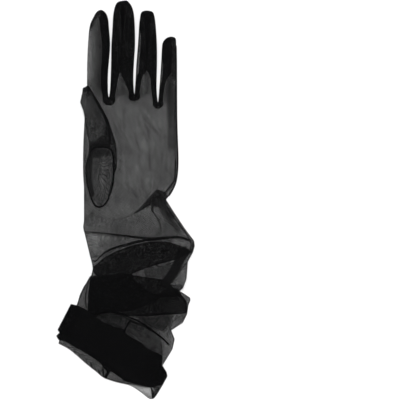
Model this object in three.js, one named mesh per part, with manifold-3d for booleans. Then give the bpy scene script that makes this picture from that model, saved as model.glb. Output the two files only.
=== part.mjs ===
// A sheer evening glove for the left hand, lying on its back with the palm up.
// It is open inside from the mouth to the fingertips, so that an arm, a hand and a thumb go in.
// Millimetres. +X points to the little finger's side, +Y to the fingertips and +Z up.
// The origin is on the table, below the middle of the glove.
import * as THREE from "three";
import { mergeVertices } from "three/addons/utils/BufferGeometryUtils.js";
import Module from "manifold-3d";

const wasm = await Module();
wasm.setup();

const wall = 1; // one layer of the net, drawn as thick as cloth has to be here
const sleeveWall = 1.3; // measured across a ring, so a slanting fold is still about 1 thick
const gap = 0.3; // between pieces that are sewn to each other
const past = 4; // how far a cutter runs past what it cuts
const flatShare = 0.7; // how far a tube's round underside is pressed flat on the table

const palmSides = 32;
const fingerSides = 16;
const thumbSides = 18;
const sleeveSides = 32;

const palmSquareness = 5; // 2 is an ellipse, and more is nearer to a rectangle
const fingerSquareness = 3;
const thumbSquareness = 2.4;
const sleeveSquareness = 2.6;

const thumbHole = { x: -21.5, y: 19.8, halfWidth: 11.7, halfLength: 26.2, level: 9 };
const thumbSeam = { width: 1.4, bottom: 11.2, top: 12.6, sides: 28 };
const sideSeam = { width: 1.2, height: 1.6, level: 5, step: 7 };

// The strip between two fingers, folded inwards along its middle into a V.
const fourchette = { width: 5, depth: 4.3, level: 5, lip: 1.15, share: 0.8, legSteps: 8, crotchSteps: 6 };
const slotDepth = fourchette.depth + gap; // the hand is cut away this far in, for the strip

// Each finger's middle line, and its half widths at the root and from the middle joint on.
const fingers = [
  { name: "forefinger", rootX: -25.6, tipX: -22.6, tipY: 172.5, rootHalf: 8.9, jointHalf: 9.8 },
  { name: "middle", rootX: -2.7, tipX: -1.6, tipY: 180.9, rootHalf: 10.4, jointHalf: 10.8 },
  { name: "ring", rootX: 18.7, tipX: 20.8, tipY: 171.6, rootHalf: 9.8, jointHalf: 8.6 },
  { name: "little", rootX: 38.2, tipX: 40.2, tipY: 148.1, rootHalf: 7.2, jointHalf: 6.4 },
];
const fingerHeight = 10;
const fingerRootY = 78; // inside the palm, below the lowest crotch
const jointShare = 0.5;
const shaftShares = [0, 0.34, 0.67]; // where a finger has a ring before its tip

// How long each fingertip's rounding is, and how square it is.
const fingertips = [
  { length: 22, squareness: 2 },
  { length: 18, squareness: 2 },
  { length: 20, squareness: 3 },
  { length: 9, squareness: 2.4 },
];
const tipDegrees = [0, 22, 42, 58, 70, 79]; // where a fingertip has a ring, on a quarter circle
const tipRise = 0.6; // how much of a tip's thinning lifts its underside
const tipThinning = 0.7;
const crotches = [93.6, 96, 91.4]; // how far along the glove each is

// Rings round the palm from the wrist to the roots of the fingers: the left and right edges,
// the height, and how far the middle of the ring bows towards the fingers.
const palmRings = [
  { leftX: -37.2, leftY: -16.9, rightX: 43.4, rightY: 11.4, top: 12, bow: -1 },
  { leftX: -37.3, leftY: -2, rightX: 44.6, rightY: 14.6, top: 12, bow: 0 },
  { leftX: -37.6, leftY: 13.4, rightX: 45.9, rightY: 22, top: 12, bow: 0 },
  { leftX: -37.9, leftY: 36.2, rightX: 46.5, rightY: 42.5, top: 12, bow: 0 },
  { leftX: -37.4, leftY: 68, rightX: 46, rightY: 71, top: 11.5, bow: 2 },
  { leftX: -35.4, leftY: 91.2, rightX: 45.5, rightY: 88.5, top: 10.4, bow: 5 },
];

// Rings of the thumb from its base round the hole to its tip: where the upper and the lower side
// of the pouch are along the glove and above the table, and its middle and half width.
const thumbRings = [
  { upperY: -6.1, upperZ: 12.9, lowerY: 45.7, lowerZ: 12.9, x: -21.5, half: 11.4 },
  { upperY: -5.6, upperZ: 15, lowerY: 46.4, lowerZ: 12.7, x: -21.5, half: 12 },
  { upperY: -1.6, upperZ: 18, lowerY: 47.2, lowerZ: 12.5, x: -21.3, half: 12.1 },
  { upperY: 10, upperZ: 20.4, lowerY: 48.4, lowerZ: 12.4, x: -20.8, half: 12 },
  { upperY: 26, upperZ: 21.2, lowerY: 50.5, lowerZ: 12.4, x: -20.2, half: 11.8 },
  { upperY: 42, upperZ: 21.2, lowerY: 54.5, lowerZ: 12.4, x: -20, half: 11.5 },
  { upperY: 58, upperZ: 20.8, lowerY: 62, lowerZ: 12.3, x: -22.6, half: 11.1 },
  { upperY: 71, upperZ: 20.2, lowerY: 71.5, lowerZ: 12, x: -25.7, half: 10.5 },
  { upperY: 83, upperZ: 18.8, lowerY: 83, lowerZ: 11.6, x: -29.2, half: 9 },
  { upperY: 92.5, upperZ: 18, lowerY: 92.5, lowerZ: 11.2, x: -32.4, half: 7.2 },
  { upperY: 99, upperZ: 17, lowerY: 99, lowerZ: 11.4, x: -34, half: 5 },
  { upperY: 103, upperZ: 15.8, lowerY: 103, lowerZ: 12.6, x: -34.6, half: 2.6 },
];

// Rings round the gathered sleeve from the wrist to the mouth, a crest or a valley of a fold in
// each row: its left and right ends, its underside and top, and the bow of its middle.
const sleeveRings = [
  { leftX: -37.2, leftY: -17.3, rightX: 43.3, rightY: 11, under: 0, top: 12, bow: -1 },
  { leftX: -37.5, leftY: -19.8, rightX: 35.2, rightY: -0.7, under: 0, top: 12, bow: -1 },
  { leftX: -38.4, leftY: -24, rightX: 49, rightY: -20, under: 0, top: 15, bow: 3 },
  { leftX: -37.6, leftY: -31, rightX: 62.6, rightY: -41.5, under: 0, top: 18.5, bow: 6 },
  { leftX: -33, leftY: -46, rightX: 59.6, rightY: -50, under: 0, top: 15, bow: 10 },
  { leftX: -28.2, leftY: -61.4, rightX: 55.6, rightY: -59.5, under: 0, top: 12.5, bow: 4 },
  { leftX: -31.6, leftY: -69.5, rightX: 54.8, rightY: -72, under: 0, top: 18, bow: 1 },
  { leftX: -35, leftY: -76, rightX: 50.6, rightY: -83.2, under: 0, top: 14.5, bow: -2 },
  { leftX: -38.8, leftY: -82.5, rightX: 59.4, rightY: -91.4, under: 0, top: 20, bow: -2 },
  { leftX: -42, leftY: -87.6, rightX: 56.4, rightY: -104, under: 0, top: 17, bow: 2 },
  { leftX: -43.4, leftY: -92, rightX: 43.4, rightY: -117, under: 0, top: 14, bow: 5 },
  { leftX: -43.8, leftY: -94.5, rightX: 43.4, rightY: -129, under: 1, top: 17, bow: 5 },
  { leftX: -46, leftY: -98.6, rightX: 31.6, rightY: -141.5, under: 3.7, top: 16, bow: 3 },
  { leftX: -51.4, leftY: -110, rightX: 31.4, rightY: -152, under: 3.7, top: 16, bow: 1 },
  { leftX: -60.3, leftY: -121.6, rightX: 32.8, rightY: -162, under: 3.7, top: 16, bow: -1 },
  { leftX: -59.6, leftY: -131, rightX: 24.9, rightY: -180.6, under: 1.6, top: 15, bow: -4 },
];
const gathers = { count: 7, depth: 0.45, drift: 1.1 }; // the fine pleats round the sleeve

// The turned-back cuff, rolled from many layers, lies round the sleeve between two of its places.
const cuff = { from: 12, to: 14, rolls: 3, stepsPerRoll: 4, thickness: 2.2, rollHeight: 1.1 };

const lerp = THREE.MathUtils.lerp;

// A power of a cosine or sine that keeps its sign, for the corners of a flattened ring.
function cornered(value, squareness) {
  return Math.sign(value) * Math.abs(value) ** (2 / squareness);
}

// The points round a flattened tube, from its right edge over the top. inset makes it smaller.
function ringPoints(ring, { inset = 0, squareness, sides, ripple = () => 0 }) {
  const left = new THREE.Vector2(ring.leftX, ring.leftY);
  const right = new THREE.Vector2(ring.rightX, ring.rightY);
  const across = right.clone().sub(left);
  const halfWidth = across.length() / 2 - inset;
  across.normalize();
  const forward = new THREE.Vector2(-across.y, across.x);
  const middle = left.add(right).multiplyScalar(0.5);
  const under = Math.max(ring.under ?? 0, 0);
  const halfHeight = (ring.top - under + flatShare) / 2;
  const level = ring.top - halfHeight;
  return Array.from({ length: sides }, (_, k) => {
    const turn = (2 * Math.PI * k) / sides;
    const out = ripple(turn);
    const c = cornered(Math.cos(turn), squareness);
    const s = cornered(Math.sin(turn), squareness);
    const plan = middle
      .clone()
      .addScaledVector(across, c * (halfWidth + out))
      .addScaledVector(forward, ring.bow * (1 - c * c));
    const height = level + s * (halfHeight + out - inset);
    return new THREE.Vector3(plan.x, plan.y, Math.max(height, under + inset));
  });
}

// A ring between two others, eased through their neighbours.
function ringAt(rings, place) {
  const at = Math.min(Math.floor(place), rings.length - 2);
  const share = place - at;
  const near = [-1, 0, 1, 2].map((step) => rings[THREE.MathUtils.clamp(at + step, 0, rings.length - 1)]);
  const ring = {};
  for (const column of Object.keys(rings[0])) {
    const [a, b, c, d] = near.map((row) => row[column]);
    const [slopeB, slopeC] = [(c - a) / 2, (d - b) / 2];
    const bend = 3 * (c - b) - 2 * slopeB - slopeC;
    const twist = 2 * (b - c) + slopeB + slopeC;
    ring[column] = b + share * (slopeB + share * (bend + share * twist));
  }
  return ring;
}

// A closed skin through rings of points. It is capped at both ends, or joined end to end.
function skin(rings, joined = false) {
  const sides = rings[0].length;
  const points = rings.flat();
  const triangles = [];
  const bands = joined ? rings.length : rings.length - 1;
  for (let band = 0; band < bands; band++) {
    const next = (band + 1) % rings.length;
    for (let k = 0; k < sides; k++) {
      const [a, b] = [band * sides + k, band * sides + ((k + 1) % sides)];
      const [c, d] = [next * sides + ((k + 1) % sides), next * sides + k];
      triangles.push([a, b, c], [a, c, d]);
    }
  }
  if (!joined) {
    for (const end of [0, rings.length - 1]) {
      const centre = rings[end]
        .reduce((sum, point) => sum.add(point), new THREE.Vector3())
        .divideScalar(sides);
      const hub = points.push(centre) - 1;
      for (let k = 0; k < sides; k++) {
        const [a, b] = [end * sides + k, end * sides + ((k + 1) % sides)];
        triangles.push(end === 0 ? [hub, b, a] : [hub, a, b]);
      }
    }
  }
  const volume = triangles.reduce(
    (sum, [a, b, c]) => sum + points[a].dot(points[b].clone().cross(points[c])),
    0,
  );
  const facingOut = volume > 0 ? triangles : triangles.map(([a, b, c]) => [a, c, b]);
  const geometry = new THREE.BufferGeometry().setFromPoints(points);
  return geometry.setIndex(facingOut.flat());
}

// Booleans work on solids whose shared vertices are merged.
function solidOf(geometry) {
  const bare = geometry.clone();
  bare.deleteAttribute("normal");
  bare.deleteAttribute("uv");
  const merged = mergeVertices(bare, 1e-4);
  const mesh = new wasm.Mesh({
    numProp: 3,
    vertProperties: merged.attributes.position.array,
    triVerts: new Uint32Array(merged.index.array),
  });
  return new wasm.Manifold(mesh);
}

function geometryOf(solid) {
  const { vertProperties, triVerts } = solid.getMesh();
  return new THREE.BufferGeometry()
    .setAttribute("position", new THREE.BufferAttribute(vertProperties, 3))
    .setIndex(new THREE.BufferAttribute(triVerts, 1));
}

// A flat outline in plan, raised from one level to another.
function slab(outline, bottom, top) {
  const shape = new THREE.Shape(outline);
  const geometry = new THREE.ExtrudeGeometry(shape, { depth: top - bottom, bevelEnabled: false });
  return geometry.translate(0, 0, bottom);
}

// A finger's middle, its half width and how full it is at a distance along the glove.
function fingerAt(index, y, inset = 0) {
  const finger = fingers[index];
  const { length, squareness } = fingertips[index];
  const share = (y - fingerRootY) / (finger.tipY - fingerRootY);
  const shaftHalf = lerp(finger.rootHalf, finger.jointHalf, Math.min(share / jointShare, 1));
  const intoTip = THREE.MathUtils.clamp((y - finger.tipY + length) / (length - inset), 0, 1);
  const fullness = (1 - intoTip ** squareness) ** (1 / squareness);
  return { x: lerp(finger.rootX, finger.tipX, share), half: (shaftHalf - inset) * fullness, fullness };
}

// The distances along a finger where it has a ring: few on the shaft, close at the tip.
function fingerStations(index, inset) {
  const { length } = fingertips[index];
  const tipStart = fingers[index].tipY - length;
  const shaft = shaftShares.map((share) => lerp(fingerRootY, tipStart, share));
  const round = tipDegrees.map((degrees) => Math.sin(THREE.MathUtils.degToRad(degrees)));
  return [...shaft, ...round.map((share) => tipStart + share * (length - inset))];
}

function fingerSkin(index, inset) {
  const rings = fingerStations(index, inset).map((y) => {
    const { x, half, fullness } = fingerAt(index, y, inset);
    const thinning = (fingerHeight / 2 - inset) * (1 - fullness ** tipThinning);
    const ring = {
      leftX: x - half,
      rightX: x + half,
      leftY: y,
      rightY: y,
      under: inset + tipRise * thinning,
      top: fingerHeight - inset - thinning,
      bow: 0,
    };
    return ringPoints(ring, { squareness: fingerSquareness, sides: fingerSides });
  });
  return skin(rings);
}

function palmSkin(inset) {
  const rings = palmRings.map((ring) => ({ ...ring }));
  if (inset > 0) {
    const wrist = rings[0];
    wrist.leftY -= past;
    wrist.rightY -= past;
    const knuckles = rings[rings.length - 1];
    knuckles.leftY -= inset;
    knuckles.rightY -= inset;
  }
  const form = { inset, squareness: palmSquareness, sides: palmSides };
  return skin(rings.map((ring) => ringPoints(ring, form)));
}

// The edges of the two fingers beside a crotch, from near one fingertip, round, to near the other.
function crotchPath(index, depth) {
  const bottom = crotches[index];
  const leg = (finger, side) => {
    const end = lerp(bottom, fingers[finger].tipY, fourchette.share);
    return Array.from({ length: fourchette.legSteps + 1 }, (_, k) => {
      const y = lerp(end, bottom, k / fourchette.legSteps);
      const { x, half } = fingerAt(finger, y);
      return new THREE.Vector2(x + side * (half - depth), y);
    });
  };
  const [near, far] = [leg(index, 1), leg(index + 1, -1).reverse()];
  const [from, to] = [near.pop(), far.shift()];
  const middle = from.clone().add(to).multiplyScalar(0.5);
  const radius = from.distanceTo(to) / 2;
  const bend = Array.from({ length: fourchette.crotchSteps + 1 }, (_, k) => {
    const turn = Math.PI + (Math.PI * k) / fourchette.crotchSteps;
    return new THREE.Vector2(middle.x + radius * Math.cos(turn), middle.y + radius * Math.sin(turn));
  });
  return [...near, ...bend, ...far];
}

// Sections along a path in plan. Each section is a list of [out from the path, height].
function sweep(path, section, joined = false) {
  const rings = path.map((point, k) => {
    const before = path[joined ? (k + path.length - 1) % path.length : Math.max(k - 1, 0)];
    const after = path[joined ? (k + 1) % path.length : Math.min(k + 1, path.length - 1)];
    const along = after.clone().sub(before).normalize();
    const out = new THREE.Vector2(along.y, -along.x);
    return section.map(([away, height]) => {
      const at = point.clone().addScaledVector(out, away);
      return new THREE.Vector3(at.x, at.y, height);
    });
  });
  return skin(rings, joined);
}

// The strip's section, a V that points into the finger, drawn along the fingers' edges.
function fourchetteSkin(index) {
  const { width, depth, level, lip } = fourchette;
  const section = [
    [0, level - width / 2],
    [depth, level],
    [0, level + width / 2],
    [0, level + width / 2 - lip],
    [depth - 2 * wall, level],
    [0, level - width / 2 + lip],
  ];
  return sweep(crotchPath(index, 0), section);
}

// The room for a strip: the fingers' facing walls, open between the front and the back.
function slotSolid(index) {
  const reach = fourchette.width / 2 + gap;
  const outline = crotchPath(index, slotDepth);
  const [nearEnd, farEnd] = [outline[0], outline[outline.length - 1]];
  nearEnd.y += gap;
  farEnd.y += gap;
  const between = (nearEnd.x + farEnd.x) / 2;
  outline.push(new THREE.Vector2(between, farEnd.y), new THREE.Vector2(between, nearEnd.y));
  return solidOf(slab(outline, fourchette.level - reach, fourchette.level + reach));
}

function ovalPath(halfWidth, halfLength, steps) {
  const middle = new THREE.Vector2(thumbHole.x, thumbHole.y);
  return Array.from({ length: steps }, (_, k) => {
    const turn = (2 * Math.PI * k) / steps;
    return new THREE.Vector2(halfWidth * Math.cos(turn), halfLength * Math.sin(turn)).add(middle);
  });
}

// The palm and the fingers together, at their outside or inset to their inside.
function handForm(inset) {
  const fingerSolids = fingers.map((finger, index) => solidOf(fingerSkin(index, inset)));
  return fingerSolids.reduce((sum, solid) => sum.add(solid), solidOf(palmSkin(inset)));
}

// The front and back of the palm and fingers, one piece folded round the forefinger's side.
function handGeometry() {
  const { halfWidth, halfLength, level } = thumbHole;
  const hole = slab(ovalPath(halfWidth, halfLength, thumbSeam.sides), level, level + 2 * past);
  let hand = handForm(0).subtract(handForm(wall)).subtract(solidOf(hole));
  for (let index = 0; index < crotches.length; index++) hand = hand.subtract(slotSolid(index));
  const [whole] = hand.decompose().sort((one, other) => other.volume() - one.volume()); // no slivers
  return geometryOf(whole);
}

// The points round the thumb's pouch at one of its rings, each of which leans as the pouch does.
function thumbPoints(ring, inset) {
  const upper = new THREE.Vector3(ring.x, ring.upperY, ring.upperZ);
  const lower = new THREE.Vector3(ring.x, ring.lowerY, ring.lowerZ);
  const halfRise = upper.clone().sub(lower).multiplyScalar(0.5);
  const middle = upper.clone().add(lower).multiplyScalar(0.5);
  const shrink = 1 - inset / halfRise.length();
  return Array.from({ length: thumbSides }, (_, k) => {
    const turn = (2 * Math.PI * k) / thumbSides;
    const rise = shrink * cornered(Math.sin(turn), thumbSquareness);
    const point = middle.clone().addScaledVector(halfRise, rise);
    point.x += (ring.half - inset) * cornered(Math.cos(turn), thumbSquareness);
    return point;
  });
}

// The thumb's pouch: its outside from the tip to the base, then its inside back to the tip.
function thumbGeometry() {
  const outside = thumbRings.map((ring) => thumbPoints(ring, 0)).reverse();
  const inside = thumbRings.slice(0, -1).map((ring) => thumbPoints(ring, wall));
  return skin([...outside, ...inside]);
}

// The rolled seam that lies in the palm's hole and carries the thumb.
function thumbSeamGeometry() {
  const { width, bottom, top, sides } = thumbSeam;
  const middle = (bottom + top) / 2;
  const section = [
    [0, bottom],
    [width / 2, middle],
    [0, top],
    [-width / 2, middle],
  ];
  const inset = gap + width / 2;
  return sweep(ovalPath(thumbHole.halfWidth - inset, thumbHole.halfLength - inset, sides), section, true);
}

// The outer edge of the palm at a distance along the glove, between two of its rings.
function palmEdgeAt(y) {
  const above = Math.max(palmRings.findIndex((ring) => ring.rightY >= y), 1);
  const [low, high] = [palmRings[above - 1], palmRings[above]];
  return lerp(low.rightX, high.rightX, (y - low.rightY) / (high.rightY - low.rightY));
}

// The rolled seam down the outside of the little finger and the palm to the wrist.
function sideSeamGeometry() {
  const { width, height, level, step } = sideSeam;
  const little = fingers.length - 1;
  const [start, end] = [palmRings[0].rightY + 1, fingers[little].tipY - fingertips[little].length];
  const count = Math.round((end - start) / step);
  const knuckles = palmRings[palmRings.length - 1].rightY;
  const path = Array.from({ length: count + 1 }, (_, k) => {
    const y = lerp(start, end, k / count);
    const { x, half } = fingerAt(little, y);
    const edge = y > knuckles ? x + half : palmEdgeAt(y);
    return new THREE.Vector2(edge + gap + width / 2, y);
  });
  const section = [
    [-width / 2, level],
    [0, level - height / 2],
    [width / 2, level],
    [0, level + height / 2],
  ];
  return sweep(path, section);
}

// A ring of the gathered sleeve at a place in its table, with its fine pleats.
function sleevePoints(place, inset) {
  const ends = [0, sleeveRings.length - 1];
  const pleat = ends.includes(place) ? 0 : gathers.depth;
  const ripple = (turn) => pleat * Math.sin(gathers.count * turn + gathers.drift * place);
  const form = { inset, squareness: sleeveSquareness, sides: sleeveSides, ripple };
  return ringPoints(ringAt(sleeveRings, place), form);
}

// The places of the sleeve's rings, two to each row of its table.
function sleevePlaces(from, to) {
  return Array.from({ length: 2 * (to - from) + 1 }, (_, k) => from + k / 2);
}

// The gathered sleeve: its outside from the wrist to the mouth, then its inside back again.
function sleeveGeometry() {
  const places = sleevePlaces(0, sleeveRings.length - 1);
  const outside = places.map((place) => sleevePoints(place, 0));
  const inside = places.map((place) => sleevePoints(place, sleeveWall)).reverse();
  return skin([...outside, ...inside], true);
}

// The turned-back cuff: rolls outside, and inside the sleeve's own form with a small gap.
function cuffGeometry() {
  const { from, to, rolls, stepsPerRoll, thickness, rollHeight } = cuff;
  const steps = rolls * stepsPerRoll;
  const outside = Array.from({ length: steps + 1 }, (_, k) => {
    const roll = rollHeight * Math.abs(Math.sin((Math.PI * k) / stepsPerRoll));
    return sleevePoints(lerp(from, to, k / steps), -(gap + thickness + roll));
  });
  const inside = sleevePlaces(from, to).map((place) => sleevePoints(place, -gap));
  return skin([...outside, ...inside.reverse()], true);
}

const black = 0x141414;
const net = new THREE.MeshStandardMaterial({ color: black, roughness: 0.75, metalness: 0 });
const seamThread = new THREE.MeshStandardMaterial({ color: black, roughness: 0.6, metalness: 0 });

const glove = new THREE.Group();

function addPiece(name, geometry, material) {
  const piece = new THREE.Mesh(geometry, material);
  piece.name = name;
  glove.add(piece);
}

addPiece("hand", handGeometry(), net);
for (let index = 0; index < crotches.length; index++) {
  const between = fingers[index].name + "_" + fingers[index + 1].name;
  addPiece("fourchette_" + between, fourchetteSkin(index), net);
}
addPiece("thumb", thumbGeometry(), net);
addPiece("thumb_seam", thumbSeamGeometry(), seamThread);
addPiece("side_seam", sideSeamGeometry(), seamThread);
addPiece("sleeve", sleeveGeometry(), net);
addPiece("cuff", cuffGeometry(), net);

export default glove;
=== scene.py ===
import math

import bmesh
import bpy
import numpy as np
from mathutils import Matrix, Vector, geometry, noise
from numpy.linalg import norm


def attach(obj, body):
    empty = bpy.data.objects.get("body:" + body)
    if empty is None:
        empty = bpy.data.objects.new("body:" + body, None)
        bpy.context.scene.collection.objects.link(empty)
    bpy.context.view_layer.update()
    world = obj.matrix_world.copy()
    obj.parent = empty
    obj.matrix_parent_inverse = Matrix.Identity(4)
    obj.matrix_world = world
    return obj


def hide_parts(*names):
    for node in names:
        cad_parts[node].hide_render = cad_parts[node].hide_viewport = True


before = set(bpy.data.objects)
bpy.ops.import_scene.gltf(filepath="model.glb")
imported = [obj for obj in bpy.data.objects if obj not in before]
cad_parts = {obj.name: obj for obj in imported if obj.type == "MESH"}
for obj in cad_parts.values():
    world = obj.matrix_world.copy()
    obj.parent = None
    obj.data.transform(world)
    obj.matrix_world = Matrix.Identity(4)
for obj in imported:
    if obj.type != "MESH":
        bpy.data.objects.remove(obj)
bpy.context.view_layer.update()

# Places on the glove are read on a flat grid, in squares of 0.91 mm, with its own zero point
grid = {"square": 0.00091, "zeroX": 124.9, "zeroY": 199.75}


def atGrid(points):
    places = np.array(points, float)
    x = (places[:, 0] - grid["zeroX"]) * grid["square"]
    y = (grid["zeroY"] - places[:, 1]) * grid["square"]
    return np.stack([x, y], 1)


def backOnGrid(flat):
    x = flat[:, 0] / grid["square"] + grid["zeroX"]
    y = grid["zeroY"] - flat[:, 1] / grid["square"]
    return np.stack([x, y], 1)


def lengthsAlong(line):
    return np.concatenate([[0], np.cumsum(norm(np.diff(line, axis=0), axis=1))])


def evenLine(points, count, shares=None):
    # a smooth line through the points, cut at even steps or at the given shares of its length
    ends = [points[0]] + list(points) + [points[-1]]
    cuts = 8
    dense = []
    for k in range(1, len(ends) - 2):
        a, b, c, d = (np.array(ends[k + o], float) for o in (-1, 0, 1, 2))
        for cut in range(cuts):
            t = cut / cuts
            dense.append(b + 0.5 * t * (c - a + t * (2 * a - 5 * b + 4 * c - d + t * (3 * (b - c) + d - a))))
    dense.append(np.array(points[-1], float))
    dense = np.array(dense)
    lengths = lengthsAlong(dense)
    wanted = (np.linspace(0, 1, count) if shares is None else shares) * lengths[-1]
    return np.stack([np.interp(wanted, lengths, dense[:, i]) for i in (0, 1)], 1)


def distanceTo(points, line):
    # the shortest distance of every point from a line of many short pieces
    best = np.full(len(points), np.inf)
    for a, b in zip(line[:-1], line[1:]):
        along = b - a
        t = np.clip(((points - a) @ along) / max(along @ along, 1e-12), 0, 1)
        best = np.minimum(best, norm(points - a - t[:, None] * along, axis=1))
    return best


def inside(points, loop):
    found = np.zeros(len(points), bool)
    for k in range(len(loop)):
        (x1, y1), (x2, y2) = loop[k], loop[(k + 1) % len(loop)]
        crosses = (y1 > points[:, 1]) != (y2 > points[:, 1])
        at = x1 + (points[:, 1] - y1) * (x2 - x1) / (y2 - y1 if y1 != y2 else 1e-12)
        found ^= crosses & (points[:, 0] < at)
    return found


def smoothStep(value):
    t = np.clip(value, 0, 1)
    return t * t * (3 - 2 * t)


def between(first, second, share):
    return first * (1 - share) + second * share


def bunching(points, creases):
    # how much closer the net lies along each crease; points are on the grid
    dense = np.zeros(len(points))
    stretched = np.zeros(len(points))
    for line, halfWidth, amount, rim in creases:
        if halfWidth is None:
            loop = np.array(line + line[:1], float)
            gap = distanceTo(points, loop)
            gap = np.where(inside(points, loop[:-1]), -gap, gap)
        else:
            gap = distanceTo(points, evenLine(line, 40)) - halfWidth
        share = amount * (1 - smoothStep(gap / rim + 0.5))
        dense = np.maximum(dense, share)
        stretched = np.minimum(stretched, share)
    return dense + stretched


def both(first, second):
    # two amounts of bunching on the same net
    return 1 - (1 - first) * (1 - second)


def linear(hexColour):
    parts = [(hexColour >> shift & 255) / 255 for shift in (16, 8, 0)]
    return [p / 12.92 if p <= 0.04045 else ((p + 0.055) / 1.055) ** 2.4 for p in parts] + [1.0]


def addNode(tree, kind, settings=None, links=None):
    node = tree.nodes.new("ShaderNode" + kind)
    for key, value in (settings or {}).items():
        if isinstance(key, int) or key in node.inputs:
            node.inputs[key].default_value = value
        else:
            setattr(node, key, value)
    for key, source in (links or {}).items():
        tree.links.new(source, node.inputs[key])
    return node


def newMaterial(name, roughness, specular):
    made = bpy.data.materials.new(name)
    made.use_nodes = True
    shader = made.node_tree.nodes["Principled BSDF"]
    shader.inputs["Roughness"].default_value = roughness
    shader.inputs["Specular IOR Level"].default_value = specular
    return made, made.node_tree, shader


def addRelief(tree, shader, strength, depth, height):
    bump = addNode(tree, "Bump", {"Strength": strength, "Distance": depth}, {"Height": height})
    tree.links.new(bump.outputs["Normal"], shader.inputs["Normal"])


def deselectAll():
    for item in list(bpy.context.selected_objects):
        item.select_set(False)


# Camera, straight over the glove with a long lens
view = {"x": 0.0683, "y": -0.0002, "height": 6.0, "across": 0.364, "sensor": 36.0}
cameraData = bpy.data.cameras.new("overhead")
cameraData.sensor_width = view["sensor"]
cameraData.lens = view["sensor"] * view["height"] / view["across"]
camera = bpy.data.objects.new("overhead", cameraData)
camera.location = (view["x"], view["y"], view["height"])
bpy.context.scene.collection.objects.link(camera)
bpy.context.scene.camera = camera
bpy.context.scene.view_settings.view_transform = "Standard"

# Studio, a white floor under even light
studio = {
    "floorHalf": 12.0,
    "floorColour": 0xFAFAFA,
    "world": 0.38,
    "lampPower": 420.0,
    "lampSize": 1.1,
    "lampHeight": 7.0,
    "lampY": 0.3,
}
deselectAll()
bpy.ops.mesh.primitive_plane_add(size=2 * studio["floorHalf"], location=(0, 0, 0))
floor = bpy.context.active_object
floor.name = "floor"
floorPaint, _, floorShader = newMaterial("matt white card", 1.0, 0.0)
floorShader.inputs["Base Color"].default_value = linear(studio["floorColour"])
floor.data.materials.append(floorPaint)
world = bpy.data.worlds.new("white tent")
world.use_nodes = True
world.node_tree.nodes["Background"].inputs["Color"].default_value = (1, 1, 1, 1)
world.node_tree.nodes["Background"].inputs["Strength"].default_value = studio["world"]
bpy.context.scene.world = world
lampData = bpy.data.lights.new("soft box", "AREA")
lampData.size = studio["lampSize"]
lampData.energy = studio["lampPower"]
lamp = bpy.data.objects.new("soft box", lampData)
lamp.location = (view["x"], studio["lampY"], studio["lampHeight"])
bpy.context.scene.collection.objects.link(lamp)
print("camera and studio are set")


# Black nylon tulle: thin black yarn knitted to open cells, so the floor shows grey through it,
# and each layer more takes away half of what is left
netLook = {
    "colour": 0x0A0A0B,
    "roughness": 0.72,
    "specular": 0.03,  # the yarn's shine is lost among its own threads
    "cell": 0.0010,  # real cells are about 0.6 mm, drawn coarser so that they show
    "cellTurn": 45.0,
    "cellStretch": 1.25,
    "cellUnevenness": 0.2,
    "threadEdge": (0.05, 0.22),
    "threadCover": 0.96,
    "holeCover": 0.20,
    "thinThreadCover": 0.54,  # where the net is stretched its threads are thinner and its cells clear
    "thinHoleCover": 0.04,
    "noiseRange": (0.3, 0.7),
    "cloudScale": 45.0,
    "cloudDepth": 0.08,
    "streakAcross": 420.0,  # uneven yarn tension shows as faint lengthwise streaks, some 2 mm wide
    "streakAlong": 90.0,
    "streakDepth": 0.11,
    "relief": 0.0002,
    "backTurn": -27.0,  # the back layer's cells are turned, so that the layers make no bars together
    "backStretch": 1.03,
}


def aroundOne(tree, noiseOutput, depth):
    # a factor that wanders round 1
    low, high = netLook["noiseRange"]
    reach = {"From Min": low, "From Max": high, "To Min": 1 - depth, "To Max": 1 + depth}
    return addNode(tree, "MapRange", reach, {"Value": noiseOutput}).outputs["Result"]


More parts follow.
